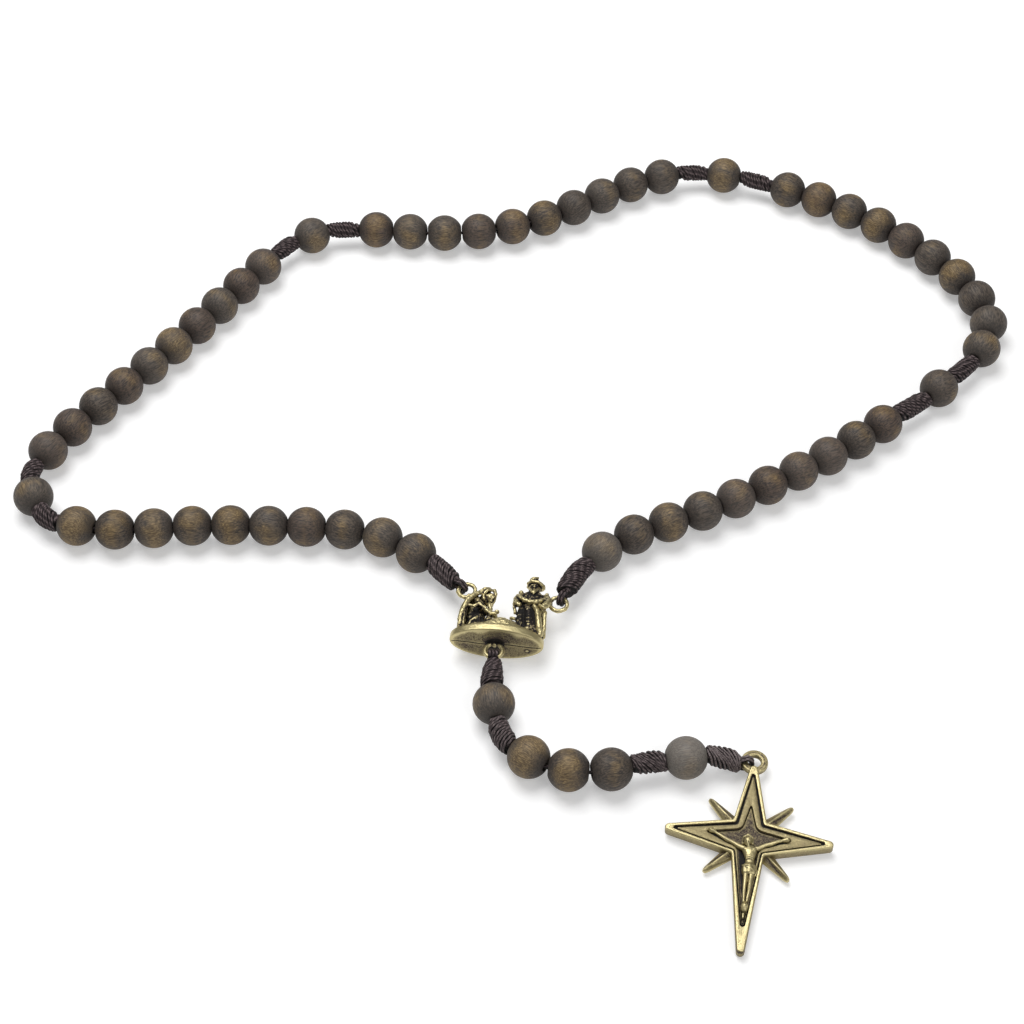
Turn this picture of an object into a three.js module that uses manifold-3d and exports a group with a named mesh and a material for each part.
// A five-decade rosary of wooden beads on knotted cord, laid out on a flat surface.
// Millimetres, +Z up. The surface is z = 0, and the loop lies behind the crucifix, towards +Y.
import * as THREE from 'three';
import { mergeVertices } from 'three/addons/utils/BufferGeometryUtils.js';
import Module from 'manifold-3d';

// ---- clearances
const bead_clearance = 0.3;        // between two beads, or a bead and a knot, where they come nearest
const bore_clearance = 0.6;        // between the cord and the wall of a bead's bore, all round
const eye_clearance = 0.35;        // between the cord's eye and the ring wire that it goes round
const surface_clearance = 0.3;     // between the crucifix's eye and the surface

// ---- cord
const cord_diameter = 0.7;
const cord_sides = 8;
const eye_sides = 6;
const eye_length = 1.3;            // from the middle of a ring's wire to the knot

// ---- barrel knots, wound in the cord itself
const wrap_pitch = 0.72;
const wrap_depth = 0.22;           // from the crown of a turn to the groove beside it
const knot_diameter = 4.2;
const knot_end_diameter = 2.7;
const loop_knot_turns = [10, 7, 7, 9, 9, 9, 10, 11, 12, 13];
const pendant_knot_turns = [7, 8, 8, 8];

// ---- beads
const bead_diameter = 8;           // across the bore
const bead_length = 7.25;          // along the bore
const bead_lip = 0.55;             // width of the flat round each mouth of the bore
const bead_facets = 10;
const bead_arc_steps = 4;
const beads_in_decade = 10;

// ---- centrepiece: base plate, two figures and three rings, one casting
const base_width = 18;
const base_depth = 9;
const base_thickness = 1.7;
const base_rim = 0.35;             // rounding of the plate's edge
const medal_ring_radius = 1.65;    // to the middle of the wire
const medal_wire = 0.85;
const medal_ring_sides = 16;
const ring_wire_sides = 6;
const standing_height = 16.9;      // from the plate's underside to the top of the hat
// Where each ring's wire sinks into the casting, seen from the front, and which way it leans from there.
const left_ring = { seat: [-6.3, 10.95], lean: 119 };
const right_ring = { seat: [9.25, 10.9], lean: 0 };
const bottom_ring = { seat: [-0.3, 0], lean: -90 };
const centrepiece_place = [-6.2, -38];
const centrepiece_turn = -6;       // degrees about the vertical

// ---- crucifix: a long four-pointed star over four short rays, one casting
const star_thickness = 2;
const crucifix_turn = -7.6;        // degrees about the vertical
const crucifix_ring_radius = 1.85;
const crucifix_ring_wire = 1.3;
const crucifix_ring_sides = 20;
const crucifix_ring_seat = 0.65;   // how deep the middle of the ring's wire lies in the star's top point
const ray_reach = 10.7;
const ray_width = 2.8;
const ray_tip_width = 1.3;
const ray_edge_height = 0.75;
const ray_ridge_height = 1.35;

// The star's outlines, from the outside in: the reach of each point from the middle, the notches
// between the points and half the width of a point's blunt end.
const star_edge = { top: 14.9, side: 15.05, foot: 23.4, upper: [3, 3.1], lower: [2.9, -3.8], blunt: 0.7 };
const groove_edge = { top: 13, side: 13.5, foot: 18.4, upper: [2.5, 2.5], lower: [2.5, -3.4], blunt: 0.3 };
const band_edge = { top: 12.4, side: 12.8, foot: 18, upper: [2.1, 2.1], lower: [2.2, -3.05], blunt: 0.15 };
const recess_edge = { top: 6.3, side: 7.5, foot: 17.5, upper: [1.35, 1.45], lower: [1.9, -2.6], blunt: 0.35 };
const groove_depth = 0.5;
const band_drop = 0.2;             // from the rim down to the band inside the groove
const recess_depth = 0.9;
const star_centre_to_ring = star_edge.top - crucifix_ring_seat + crucifix_ring_radius;

// The loop's route seen from above, from the centrepiece's left ring round to its right ring.
const loop_points = [
  [-22.2, -14.7], [-29, -10.6], [-36.1, -8.9], [-51, -8], [-66.2, -7.9], [-81, -9.2], [-88.9, -8.3],
  [-95.8, -5.8], [-99.3, -0.7], [-100.4, 6],
  [-98.1, 12], [-94, 18.3], [-85, 29.8], [-75.8, 41.6], [-67, 54], [-58.3, 66.7],
  [-49.2, 77.2], [-35, 79.4], [-19.4, 78], [-3.8, 79.9], [10.1, 86.2], [23.5, 94.5], [31, 97.4],
  [38.4, 98.7], [45.3, 98], [59.3, 93], [73.1, 85.4], [84.9, 75.4], [94.8, 63.5], [99.8, 48.5], [96.2, 40.6],
  [86.1, 29.7], [72.8, 19.2], [60.6, 10.2], [47.9, 2.4], [34.2, -4.5], [20.8, -10.2], [14.2, -14.6],
  [9.8, -20],
];
// The pendant's route, from the centrepiece's bottom ring to the crucifix's ring.
const pendant_points = [
  [-6.9, -43.2], [-7, -46.8], [-6.8, -51.1], [-6.2, -55.1], [-5, -58.8], [-2.9, -61.7], [-0.2, -64],
  [3.2, -65.8], [6.9, -66.8], [10.7, -66.9], [14.6, -66.5], [18.1, -65.7], [21.6, -64.8], [24.9, -64.1],
  [28.1, -63.6], [33, -63.4], [39.4, -63.4],
];

// ---- colours and finishes
function finish(color, roughness, metalness) {
  return new THREE.MeshStandardMaterial({ color, roughness, metalness });
}
const wood_finish = () => finish(0x4d4238, 0.75, 0);
const cord_finish = () => finish(0x33262a, 0.85, 0);
const brass_finish = () => finish(0x8c7b45, 0.45, 0.85);

// ---- joining and cutting closed shapes
const wasm = await Module();
wasm.setup();

const weld_distance = 1e-4;

function toSolid(geometry) {
  geometry.deleteAttribute('normal');
  geometry.deleteAttribute('uv');
  const merged = mergeVertices(geometry, weld_distance);
  return new wasm.Manifold(new wasm.Mesh({
    numProp: 3,
    vertProperties: merged.getAttribute('position').array,
    triVerts: new Uint32Array(merged.getIndex().array),
  }));
}

function toGeometry(solid) {
  const { vertProperties, triVerts } = solid.getMesh();
  const geometry = new THREE.BufferGeometry();
  geometry.setAttribute('position', new THREE.BufferAttribute(vertProperties, 3));
  geometry.setIndex(new THREE.BufferAttribute(triVerts, 1));
  return geometry;
}

const unite = (geometries) => geometries.map(toSolid).reduce((whole, piece) => whole.add(piece));

// ---- shapes drawn through rings of points
function trianglesToGeometry(triangles) {
  const geometry = new THREE.BufferGeometry().setFromPoints(triangles.flat());
  return mergeVertices(geometry, weld_distance);
}

function isFlat(a, b, c) {
  return Math.min(a.distanceTo(b), b.distanceTo(c), c.distanceTo(a)) < weld_distance;
}

// A closed skin over rings that all have the same number of points, with a fan over each end ring.
// Points run anticlockwise as seen from the last ring.
function skin(rings) {
  const triangles = [];
  const count = rings[0].length;
  for (let i = 0; i + 1 < rings.length; i += 1) {
    for (let j = 0; j < count; j += 1) {
      const next = (j + 1) % count;
      triangles.push([rings[i][j], rings[i][next], rings[i + 1][next]]);
      triangles.push([rings[i][j], rings[i + 1][next], rings[i + 1][j]]);
    }
  }
  const [first, last] = [rings[0], rings[rings.length - 1]];
  for (let j = 1; j + 1 < count; j += 1) {
    triangles.push([first[0], first[j + 1], first[j]]);
    triangles.push([last[0], last[j], last[j + 1]]);
  }
  return trianglesToGeometry(triangles.filter(([a, b, c]) => !isFlat(a, b, c)));
}

// One ring of points round a centre, in the plane of two directions.
function ringAt(centre, across, up, radiusAcross, radiusUp, count) {
  return Array.from({ length: count }, (_, j) => {
    const angle = (2 * Math.PI * (j + 0.5)) / count;
    return centre.clone()
      .addScaledVector(across, radiusAcross * Math.cos(angle))
      .addScaledVector(up, radiusUp * Math.sin(angle));
  });
}

// An upright body of elliptical slices, each { z, x, y, a, b } with half widths a and b.
function lofted(slices, count) {
  const [east, north] = [new THREE.Vector3(1, 0, 0), new THREE.Vector3(0, 1, 0)];
  return skin(slices.map(({ z, x = 0, y = 0, a, b }) => (
    ringAt(new THREE.Vector3(x, y, z), east, north, a, b, count))));
}

// A rounded limb that tapers through points [x, y, z, radius].
function limb(joints, count = 6) {
  const places = joints.map(([x, y, z]) => new THREE.Vector3(x, y, z));
  const rings = [];
  places.forEach((place, i) => {
    const ahead = places[Math.min(i + 1, places.length - 1)];
    const behind = places[Math.max(i - 1, 0)];
    const along = ahead.clone().sub(behind).normalize();
    const reference = Math.abs(along.z) > 0.8 ? new THREE.Vector3(0, 1, 0) : new THREE.Vector3(0, 0, 1);
    const across = reference.clone().cross(along).normalize();
    const up = along.clone().cross(across);
    const radius = joints[i][3];
    const cap = (side) => {
      const end = place.clone().addScaledVector(along, side * 0.7 * radius);
      return ringAt(end, across, up, 0.55 * radius, 0.55 * radius, count);
    };
    if (i === 0) rings.push(cap(-1));
    rings.push(ringAt(place, across, up, radius, radius, count));
    if (i === places.length - 1) rings.push(cap(1));
  });
  return skin(rings);
}

function ball(radius, place, around = 10, over = 7) {
  return new THREE.SphereGeometry(radius, around, over).translate(...place);
}

// ---- cord, knots and eyes
const cord_radius = cord_diameter / 2;
const bead_radius = bead_diameter / 2;
const upright = new THREE.Vector3(0, 0, 1);

// Place and directions at a distance along a route.
function stationOn(route, distance) {
  const share = THREE.MathUtils.clamp(distance / route.getLength(), 0, 1);
  const place = route.getPointAt(share);
  const along = route.getTangentAt(share);
  const across = upright.clone().cross(along).normalize();
  const up = along.clone().cross(across);
  return { place, along, across, up };
}

// The radius of a knot at a share of its length: full in the middle and drawn in at both ends.
function knotRadius(share) {
  const fullness = 1 - Math.abs(2 * share - 1) ** 4;
  return THREE.MathUtils.lerp(knot_end_diameter, knot_diameter, fullness) / 2;
}

// The cord with its knots as one skin. Each side of the cord has its own column of points, and in a
// knot the columns step up by a turn's pitch on the way round, so its ridges are one helix.
// Each stop on the route is a plain ring of the cord, or a knot of some turns, at a distance.
function cordWithKnots(route, stops) {
  const columns = Array.from({ length: cord_sides }, () => []);
  const beside = [];
  const addRow = (distanceOf, radiusOf, rowBeside) => {
    columns.forEach((column, j) => {
      const { place, across, up } = stationOn(route, distanceOf(j));
      const angle = (2 * Math.PI * j) / cord_sides;
      const radius = radiusOf(j);
      place.addScaledVector(across, radius * Math.cos(angle)).addScaledVector(up, radius * Math.sin(angle));
      column.push(place);
    });
    beside.push(rowBeside);
  };
  const addPlainRing = (at) => addRow(() => at, () => cord_radius, beside.length);
  for (const { at, turns, fromCord, toCord } of stops) {
    if (!turns) {
      addPlainRing(at);
      continue;
    }
    if (fromCord) addPlainRing(at);
    const length = turns * wrap_pitch;
    const knotRows = 2 * turns + 4;   // a ridge and a groove each turn, and both ends
    const lastRow = beside.length + knotRows - 1;
    for (let row = 0; row < knotRows; row += 1) {
      const halfTurns = (j) => row - 2 + (2 * j) / cord_sides;
      const offset = (j) => THREE.MathUtils.clamp(halfTurns(j) * (wrap_pitch / 2), 0, length);
      const radius = (j) => {
        const inside = offset(j) > weld_distance && offset(j) < length - weld_distance;
        const groove = inside && row % 2 === 0 ? wrap_depth : 0;
        return knotRadius(offset(j) / length) - groove;
      };
      addRow((j) => at + offset(j), radius, Math.min(beside.length + 2, lastRow));
    }
    if (toCord) addPlainRing(at + length);
  }
  return skinColumns(columns, beside);
}

// Joins neighbouring columns. The last column meets the first one at the row that `beside` names.
function skinColumns(columns, beside) {
  const triangles = [];
  const rows = beside.length;
  columns.forEach((column, j) => {
    const last = j === columns.length - 1;
    const neighbour = columns[(j + 1) % columns.length];
    for (let row = 0; row + 1 < rows; row += 1) {
      const [a, b] = last ? [beside[row], beside[row + 1]] : [row, row + 1];
      triangles.push([column[row], neighbour[a], neighbour[b]]);
      triangles.push([column[row], neighbour[b], column[row + 1]]);
    }
  });
  for (let j = 1; j + 1 < columns.length; j += 1) {
    triangles.push([columns[0][0], columns[j + 1][0], columns[j][0]]);
    triangles.push([columns[0][rows - 1], columns[j][rows - 1], columns[j + 1][rows - 1]]);
  }
  return trianglesToGeometry(triangles.filter(([a, b, c]) => !isFlat(a, b, c)));
}

// The eye that holds a ring: the cord leaves the knot, goes over the ring's wire, down through the
// ring and back under the wire. `towards` points from the wire to the knot.
function eyeRound(wire, towards, wireRadius) {
  const bend = wireRadius + eye_clearance + cord_radius;
  const across = upright.clone().cross(towards).normalize();
  const up = towards.clone().cross(across);
  const strandGap = cord_diameter * 0.7;
  const at = (back, rise) => wire.clone().addScaledVector(towards, back).addScaledVector(up, rise);
  const bend_steps = 8;
  const path = [at(eye_length + cord_diameter, strandGap), at(eye_length, strandGap)];
  for (let i = 0; i <= bend_steps; i += 1) {
    const angle = Math.PI / 2 + (Math.PI * i) / bend_steps;
    path.push(at(bend * Math.cos(angle), bend * Math.sin(angle)));
  }
  path.push(at(eye_length, -strandGap), at(eye_length + cord_diameter, -strandGap));
  const rings = path.map((place, i) => {
    const ahead = path[Math.min(i + 1, path.length - 1)];
    const behind = path[Math.max(i - 1, 0)];
    const along = ahead.clone().sub(behind).normalize();
    return ringAt(place, across, along.clone().cross(across), cord_radius, cord_radius, eye_sides);
  });
  return skin(rings);
}

// ---- beads
const bore_diameter = cord_diameter + 2 * bore_clearance;
const lip_radius = bore_diameter / 2 + bead_lip;

// Half outline of a bead: its bore, the flats round the bore's mouths and the turned outside.
// A faceted bead stands on a flat side, so its flats, not its corners, are a bead radius away.
function beadGeometry(bored) {
  const corner = 1 / Math.cos(Math.PI / bead_facets);
  const lip_angle = Math.acos(lip_radius / bead_radius);
  const bulge = bead_length / 2 / Math.sin(lip_angle);
  const inner = bored ? bore_diameter / 2 * corner : 0;
  const outline = [new THREE.Vector2(inner, -bead_length / 2)];
  for (let i = 0; i <= bead_arc_steps; i += 1) {
    const angle = THREE.MathUtils.lerp(-lip_angle, lip_angle, i / bead_arc_steps);
    outline.push(new THREE.Vector2(bead_radius * corner * Math.cos(angle), bulge * Math.sin(angle)));
  }
  outline.push(new THREE.Vector2(inner, bead_length / 2));
  if (bored) outline.push(outline[0].clone());
  return new THREE.LatheGeometry(outline, bead_facets, Math.PI / bead_facets);
}

// Places a bead's bore on the straight line between its two mouths on the route.
function beadFrame(route, middle) {
  const start = stationOn(route, middle - bead_length / 2).place;
  const end = stationOn(route, middle + bead_length / 2).place;
  const along = end.clone().sub(start).normalize();
  const across = upright.clone().cross(along).normalize();
  const up = along.clone().cross(across);
  return new THREE.Matrix4().makeBasis(across, along, up.negate())
    .setPosition(start.add(end).multiplyScalar(0.5));
}

const boreDirection = (frame) => new THREE.Vector3().setFromMatrixColumn(frame, 1);

// ---- threading: where each bead and knot lies along a route
// On a bend, two neighbours touch at the inner rims of their facing ends, so what stands between
// them is the clearance and what those rims need.
function gapBetween(before, direction, rim) {
  return bead_clearance + (before.rim + rim) * Math.tan(before.direction.angleTo(direction) / 2);
}

function nextBead(route, before) {
  let start = before.end + bead_clearance;
  let direction;
  for (let i = 0; i < 3; i += 1) {
    direction = boreDirection(beadFrame(route, start + bead_length / 2));
    start = before.end + gapBetween(before, direction, lip_radius);
  }
  return { start, middle: start + bead_length / 2, end: start + bead_length, direction, rim: lip_radius };
}

function nextKnot(route, turns, before) {
  const rim = knot_end_diameter / 2;
  let start = before ? before.end + bead_clearance : eye_length;
  if (before) start = before.end + gapBetween(before, stationOn(route, start).along, rim);
  const end = start + turns * wrap_pitch;
  return { start, end, direction: stationOn(route, end).along, rim };
}

// Threads groups of beads on a route, with a knot before, between and after the groups.
function thread(route, groups, knotTurns) {
  let piece = nextKnot(route, knotTurns[0]);
  const stops = [{ at: piece.start, turns: knotTurns[0], fromCord: false, toCord: true }];
  const beads = [];
  groups.forEach((count, group) => {
    for (let order = 0; order < count; order += 1) {
      const bead = nextBead(route, piece);
      if (order > 0) stops.push({ at: (piece.end + bead.start) / 2 });
      beads.push({ group, order, middle: bead.middle });
      piece = bead;
    }
    const turns = knotTurns[group + 1];
    piece = nextKnot(route, turns, piece);
    stops.push({ at: piece.start, turns, fromCord: true, toCord: group < groups.length - 1 });
  });
  return { stops, beads, length: piece.end + eye_length };
}

// A smooth route through points, drawn out from the line between two anchors until it is as long
// as what is threaded on it. A loop is anchored at both its ends, a pendant only at its start.
function fittedRoute(points, groups, knotTurns, anchors) {
  const drawn = (swell) => {
    const moved = points.map((point, i) => {
      const anchor = anchors[0].clone().lerp(anchors[1], i / (points.length - 1));
      const out = point.clone().sub(anchor).multiply(new THREE.Vector3(swell, swell, 1));
      return anchor.add(out);
    });
    const route = new THREE.CatmullRomCurve3(moved, false, 'centripetal');
    route.arcLengthDivisions = 20 * points.length;
    return route;
  };
  let [small, large] = [0.3, 3];
  for (let i = 0; i < 36; i += 1) {
    const swell = (small + large) / 2;
    const route = drawn(swell);
    if (thread(route, groups, knotTurns).length > route.getLength()) small = swell;
    else large = swell;
  }
  const route = drawn(large);
  return { route, ...thread(route, groups, knotTurns) };
}

// ---- rings
function ringGeometry(radius, wire, sides) {
  return new THREE.TorusGeometry(radius, wire / 2, ring_wire_sides, sides);
}

// ---- centrepiece, standing on its plate with the figures' fronts towards -Y
function basePlate() {
  const slices = [
    { z: 0, inset: base_rim },
    { z: base_rim, inset: 0 },
    { z: base_thickness - base_rim, inset: 0 },
    { z: base_thickness, inset: base_rim },
  ];
  const [half_width, half_depth] = [base_width / 2, base_depth / 2];
  return lofted(slices.map(({ z, inset }) => ({ z, a: half_width - inset, b: half_depth - inset })), 28);
}

function medalRingMiddle({ seat: [x, z], lean }) {
  const angle = THREE.MathUtils.degToRad(lean);
  const [right, up] = [medal_ring_radius * Math.cos(angle), medal_ring_radius * Math.sin(angle)];
  return new THREE.Vector3(x + right, 0, z + up);
}

function ground() {
  return lofted([
    { z: base_thickness / 2, x: 0.3, a: 6.6, b: 3.4 },
    { z: base_thickness + 0.6, x: 0.5, a: 4.9, b: 3.1 },
    { z: base_thickness + 1.9, x: 0.7, y: 0.5, a: 2.7, b: 2.2 },
    { z: base_thickness + 3.3, x: 0.5, y: 0.8, a: 1, b: 1 },
  ], 10);
}

// A low bank along the front edge of the plate, highest between the two figures.
function frontBank() {
  return limb([
    [-6, -2.2, base_thickness, 0.6], [-3.2, -3.1, base_thickness + 0.1, 0.7],
    [-0.1, -3.3, base_thickness + 0.6, 0.9], [3, -3.1, base_thickness + 0.1, 0.7],
    [6, -2.2, base_thickness, 0.6],
  ]);
}

function kneelingFigure() {
  const cloak = lofted([
    { z: base_thickness / 2, x: -4.9, a: 3, b: 2.9 },
    { z: 3.4, x: -4.9, a: 3, b: 2.8 },
    { z: 6, x: -5.3, a: 2.5, b: 2.5 },
    { z: 8.4, x: -5.2, a: 2.5, b: 2.3 },
    { z: 10.4, x: -5.2, a: 1.9, b: 1.9 },
    { z: 11.3, x: -3.7, a: 1, b: 1.4 },
  ], 10);
  const hood = ball(1.6, [-2.9, 0.1, 11]);
  const face = ball(1, [-2.1, -0.6, 10.6], 8, 6);
  const nearArm = limb([
    [-4.9, -1.7, 9.2, 1], [-3.6, -2.4, 6.9, 0.85], [-1.2, -1.9, 5.7, 0.6], [-0.5, -1.8, 5.9, 0.45],
  ]);
  const farArm = limb([[-3.6, 1.2, 8.6, 0.9], [-0.8, 0.2, 6.1, 0.5]]);
  const knees = limb([[-4.2, -1, 3, 1.9], [-2.1, -1, 2.8, 1.2]], 8);
  const cloakEdge = limb([
    [-7.3, -1.6, 2.4, 0.45], [-7.4, -1.4, 5.8, 0.5], [-6.6, -1.6, 9, 0.5], [-3.8, -1.4, 11.2, 0.4],
  ]);
  const fold = limb([[-5.3, -2.6, 2.2, 0.5], [-4.9, -2.5, 5, 0.45], [-4, -2.2, 7.4, 0.4]]);
  return [cloak, hood, face, nearArm, farArm, knees, cloakEdge, fold];
}

function standingFigure() {
  const crown = standing_height;
  const robe = lofted([
    { z: base_thickness / 2, x: 6, a: 2.7, b: 2.8 },
    { z: 4, x: 6.1, a: 2.6, b: 2.4 },
    { z: 7.6, x: 6, a: 2.8, b: 2.4 },
    { z: 10.6, x: 5.9, a: 3.3, b: 2.2 },
    { z: 12.2, x: 5.8, a: 2.5, b: 1.8 },
    { z: crown - 3.9, x: 5.9, a: 1.1, b: 1.1 },
  ], 10);
  const head = ball(1.35, [5.95, -0.2, crown - 3]);
  const beard = limb([[5.95, -1.1, crown - 3.5, 0.7], [5.95, -1.5, crown - 4.6, 0.45]]);
  const hatBrim = lofted([
    { z: crown - 2.6, x: 6, a: 1.75, b: 1.7 },
    { z: crown - 2.2, x: 6, a: 1.85, b: 1.8 },
    { z: crown - 1.9, x: 6, a: 1.4, b: 1.4 },
  ], 10);
  const hatCrown = lofted([
    { z: crown - 2.4, x: 5.9, a: 1.25, b: 1.25 },
    { z: crown - 0.8, x: 5.8, a: 1.05, b: 1.05 },
    { z: crown, x: 5.7, a: 0.45, b: 0.45 },
  ], 8);
  const arms = [
    limb([[3.6, -0.6, 11.6, 0.9], [3, -1.5, 10, 0.9], [3.3, -2.4, 9, 0.8], [5.6, -3, 9.2, 0.55]]),
    limb([[8.3, -0.6, 11.5, 0.9], [8.9, -1.5, 10, 0.9], [8.5, -2.4, 9, 0.8], [6.2, -3, 9.1, 0.55]]),
  ];
  const folds = [[4.4, 2.2], [6, 2.6], [7.5, 2.4]].map(([x, out]) => (
    limb([[x, -out, 2.2, 0.5], [x + 0.2, -out, 5, 0.42], [x, -out + 0.1, 7.8, 0.36]])));
  const cloakEdge = limb([[8.1, -1, 2, 0.5], [8.2, -1.2, 5.4, 0.5], [8.6, -1, 8.6, 0.46]]);
  return [robe, head, beard, hatBrim, hatCrown, ...arms, ...folds, cloakEdge];
}

function infant() {
  const top = base_thickness + 1.9;
  return [
    limb([[1.2, -1.8, top, 0.65], [3.1, -1.7, top - 0.2, 0.5]]),
    ball(0.6, [0.4, -1.8, top + 0.2], 8, 6),
  ];
}

function centrepieceGeometry() {
  const rings = [left_ring, right_ring, bottom_ring].map((ring) => (
    ringGeometry(medal_ring_radius, medal_wire, medal_ring_sides)
      .rotateX(Math.PI / 2).translate(...medalRingMiddle(ring))));
  const figures = [...kneelingFigure(), ...standingFigure(), ...infant()];
  return toGeometry(unite([basePlate(), ground(), frontBank(), ...figures, ...rings]));
}

// ---- crucifix, flat on its back with the long foot towards -Y and the face up
// One outline of the star: round each point there is a blunt end, and between them a notch.
function starShape({ top, side, foot, upper, lower, blunt }) {
  const corner = blunt / 2;
  const tips = [[0, 1, top], [-1, 0, side], [0, -1, foot], [1, 0, side]];
  const notches = [[-upper[0], upper[1]], [-lower[0], lower[1]], [lower[0], lower[1]], [upper[0], upper[1]]];
  const outline = tips.flatMap(([x, y, reach], i) => {
    const along = new THREE.Vector2(x, y);
    const across = new THREE.Vector2(-y, x);
    const at = (out, side_step) => along.clone().multiplyScalar(out).addScaledVector(across, side_step);
    return [
      at(reach - corner, -blunt), at(reach, -corner), at(reach, corner), at(reach - corner, blunt),
      new THREE.Vector2(...notches[i]),
    ];
  });
  return new THREE.Shape(outline);
}

function slab(shape, from, to) {
  return new THREE.ExtrudeGeometry(shape, { depth: to - from, bevelEnabled: false }).translate(0, 0, from);
}

// A ray is roofed: two slopes meet in a ridge along its middle.
function rayGeometry(quarter) {
  const [inner, outer] = [1.2, ray_reach];
  const section = (x, width, edge, ridge) => [
    [-width / 2, 0], [width / 2, 0], [width / 2, edge], [0, ridge], [-width / 2, edge],
  ].map(([y, z]) => new THREE.Vector3(x, y, z));
  const tipSlope = ray_tip_width / 2;
  return skin([
    section(inner, ray_width, ray_edge_height, ray_ridge_height),
    section(outer - tipSlope, ray_tip_width, ray_edge_height, ray_ridge_height - 0.2),
    section(outer, ray_tip_width / 2, ray_edge_height - 0.2, ray_edge_height),
  ]).rotateZ(Math.PI / 4 + (quarter * Math.PI) / 2);
}

function corpus(floor) {
  const shoulder_z = floor + 0.75;
  const hand_z = star_thickness - band_drop + 0.25;
  const arm = (side) => limb([
    [0.9 * side, -2.7, shoulder_z, 0.55], [2.4 * side, -2.2, shoulder_z, 0.42],
    [3.9 * side, -1.5, shoulder_z + 0.1, 0.4], [5.6 * side, -0.7, hand_z, 0.3], [6.9 * side, 0, hand_z, 0.45],
  ]);
  const leg = (side, knee) => limb([
    [0.55 * side, -7.4, shoulder_z, 0.62], [0.5 * side + 0.15, -9.9, shoulder_z + 0.3 * knee, 0.5],
    [0.25 * side + 0.05, -13, floor + 0.5, 0.38], [0.2 * side + 0.05, -14, floor + 0.45, 0.4],
  ]);
  const torso = [
    { y: -2.2, a: 0.7, b: 0.5 }, { y: -2.7, a: 1.25, b: 0.65 }, { y: -3.8, a: 1.15, b: 0.75 },
    { y: -5.3, a: 0.8, b: 0.6 }, { y: -6.3, a: 0.95, b: 0.65 },
  ];
  const cloth = [
    { y: -5.9, a: 0.9, b: 0.75 }, { y: -6.5, a: 1.3, b: 0.95 },
    { y: -7.7, a: 1.25, b: 0.9 }, { y: -8.1, a: 1, b: 0.7 },
  ];
  // These slices run down the body, so they are lofted upright and laid down head first.
  const laid = (slices) => lofted(slices.map(({ y, a, b }) => ({ z: -y, x: 0.1, a, b })), 8)
    .rotateX(Math.PI / 2).translate(0, 0, shoulder_z);
  const feet = limb([[0.05, -14, floor + 0.5, 0.45], [0.05, -15.4, floor + 0.45, 0.42]]);
  const head = ball(0.95, [-0.2, -1.3, floor + 1.15], 8, 6);
  const beard = limb([[-0.1, -1.7, floor + 1.3, 0.5], [0, -2.3, floor + 1.2, 0.3]]);
  return [laid(torso), laid(cloth), arm(-1), arm(1), leg(-1, 0.4), leg(1, 1), feet, head, beard];
}

function crucifixGeometry() {
  const top = star_thickness;
  const over = top + 1;
  const recess_floor = top - recess_depth;
  const plate = toSolid(slab(starShape(star_edge), 0, top))
    .subtract(toSolid(slab(starShape(groove_edge), top - groove_depth, over)));
  const band = toSolid(slab(starShape(band_edge), top - 2 * groove_depth, top - band_drop));
  const rays = unite([0, 1, 2, 3].map(rayGeometry));
  const ring = ringGeometry(crucifix_ring_radius, crucifix_ring_wire, crucifix_ring_sides)
    .translate(0, star_centre_to_ring, star_thickness / 2);
  const star = plate.add(band)
    .subtract(toSolid(slab(starShape(recess_edge), recess_floor, over)))
    .add(toSolid(ring));
  const raysOutside = rays.subtract(toSolid(slab(starShape(groove_edge), recess_floor, over)));
  return toGeometry(star.add(raysOutside).add(unite(corpus(recess_floor))));
}

// ---- assembly
const rosary = new THREE.Group();

function addPiece(parent, name, geometry, material) {
  const mesh = new THREE.Mesh(geometry, material);
  mesh.name = name;
  parent.add(mesh);
  return mesh;
}

// The centrepiece lies on its back, with the figures' heads away from the crucifix.
const centrepiece = new THREE.Group();
addPiece(centrepiece, 'centrepiece', centrepieceGeometry(), brass_finish());
centrepiece.rotation.set(-Math.PI / 2, 0, THREE.MathUtils.degToRad(centrepiece_turn), 'ZYX');
centrepiece.position.set(...centrepiece_place, base_depth / 2);
centrepiece.updateMatrixWorld(true);
rosary.add(centrepiece);

// Where the cord goes round a ring's wire, on the side that faces its next point.
function wirePlace(ring, [towards_x, towards_y]) {
  const middle = centrepiece.localToWorld(medalRingMiddle(ring));
  const towards = new THREE.Vector3(towards_x, towards_y, middle.z).sub(middle).normalize();
  return middle.addScaledVector(towards, medal_ring_radius);
}

function addCord(name, { route, stops }, eyes, extras) {
  const eyeShapes = eyes.map(({ end, wire }) => {
    const { place, along } = stationOn(route, end * route.getLength());
    return eyeRound(place, end === 0 ? along : along.negate(), wire / 2);
  });
  const geometry = toGeometry(unite([cordWithKnots(route, stops), ...eyeShapes, ...extras]));
  addPiece(rosary, name, geometry, cord_finish());
}

function addBead(name, route, middle) {
  const bead = addPiece(rosary, name, beadGeometry(true), wood_finish());
  beadFrame(route, middle).decompose(bead.position, bead.quaternion, bead.scale);
}

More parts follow.
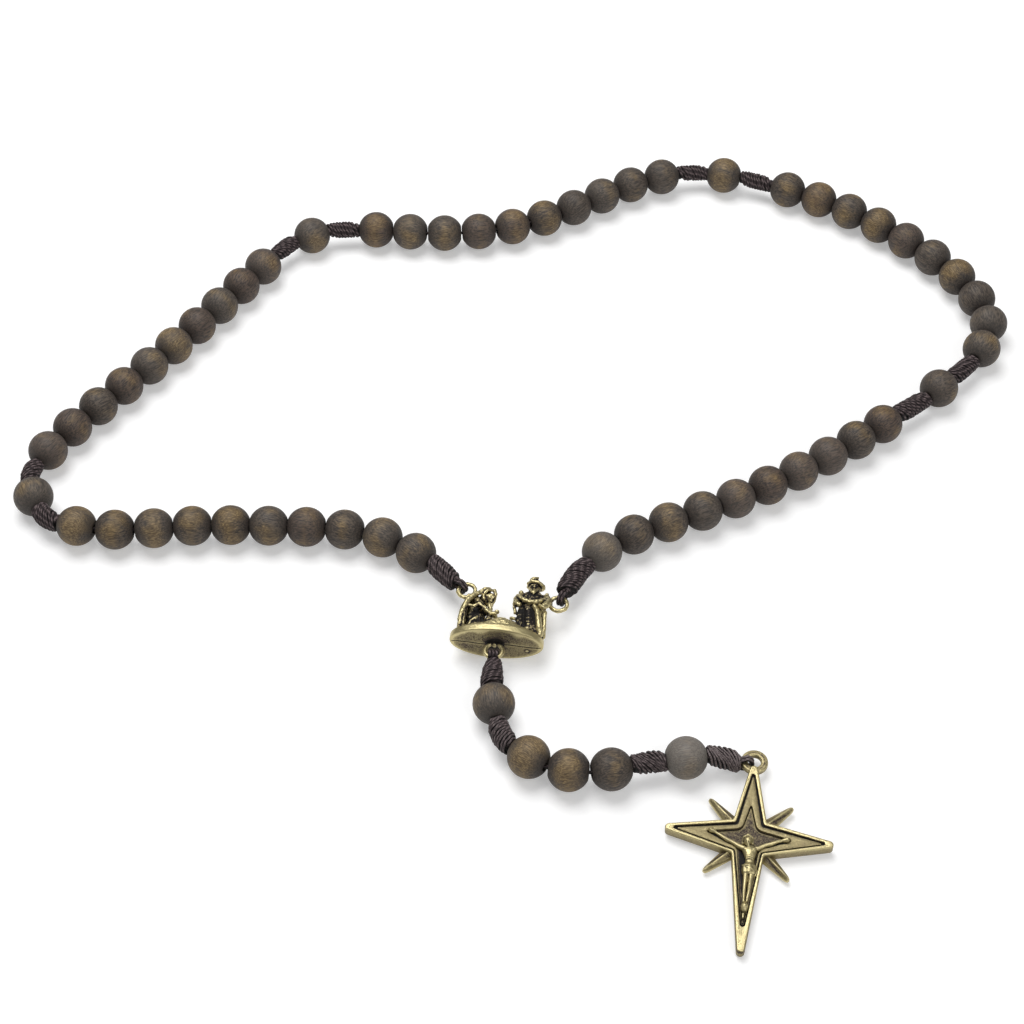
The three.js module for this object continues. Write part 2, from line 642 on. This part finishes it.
// Loop: five decades, with a single bead between each two.
const decade = beads_in_decade;
const loop_groups = [decade, 1, decade, 1, decade, 1, decade, 1, decade];
const left_wire = wirePlace(left_ring, loop_points[0]);
const right_wire = wirePlace(right_ring, loop_points[loop_points.length - 1]);
const atBeadHeight = ([x, y]) => new THREE.Vector3(x, y, bead_radius);
const loop_route = [left_wire, ...loop_points.map(atBeadHeight), right_wire];
const loop = fittedRoute(loop_route, loop_groups, loop_knot_turns, [left_wire, right_wire]);
addCord('loop_cord', loop, [{ end: 0, wire: medal_wire }, { end: 1, wire: medal_wire }], []);
loop.beads.forEach(({ group, order, middle }) => {
  const place = Math.floor(group / 2) + 1;
  const single = group % 2 === 1;
  const number = String(order + 1).padStart(2, '0');
  addBead(single ? `our_father_bead_${place}` : `decade_${place}_bead_${number}`, loop.route, middle);
});

// Pendant: a single bead, three small ones and a single bead. The three turn as one with their cord.
const pendant_groups = [1, 3, 1];
const bottom_wire = wirePlace(bottom_ring, pendant_points[0]);
const crucifix_ring_height = surface_clearance + cord_diameter + eye_clearance + crucifix_ring_wire / 2;
const pendant_route = [bottom_wire, ...pendant_points.map(atBeadHeight)];
pendant_route[pendant_route.length - 1].setZ(crucifix_ring_height);
const pendant = fittedRoute(pendant_route, pendant_groups, pendant_knot_turns, [bottom_wire, bottom_wire]);
const trio = pendant.beads.filter(({ group }) => group === 1)
  .map(({ middle }) => beadGeometry(false).applyMatrix4(beadFrame(pendant.route, middle)));
addCord('pendant_cord', pendant, [{ end: 0, wire: medal_wire }, { end: 1, wire: crucifix_ring_wire }], trio);
pendant.beads.filter(({ group }) => group !== 1).forEach(({ middle }, i) => {
  addBead(`our_father_bead_${i + 5}`, pendant.route, middle);
});

// The crucifix lies face up on the tip of its foot and its ring is held up by the cord's eye.
const crucifix_reach = star_centre_to_ring + star_edge.foot;
const crucifix_tilt = Math.asin((crucifix_ring_height - star_thickness / 2) / crucifix_reach);
const crucifix = new THREE.Group();
addPiece(crucifix, 'crucifix', crucifixGeometry(), brass_finish());
crucifix.rotation.set(crucifix_tilt, 0, THREE.MathUtils.degToRad(crucifix_turn), 'ZYX');
const { place: crucifix_wire, along: pendant_end } = stationOn(pendant.route, pendant.route.getLength());
const ring_middle = crucifix_wire.clone()
  .addScaledVector(pendant_end.setZ(0).normalize(), crucifix_ring_radius)
  .setZ(crucifix_ring_height);
const ring_offset = new THREE.Vector3(0, star_centre_to_ring, star_thickness / 2)
  .applyEuler(crucifix.rotation);
crucifix.position.copy(ring_middle).sub(ring_offset);
rosary.add(crucifix);

export default rosary;
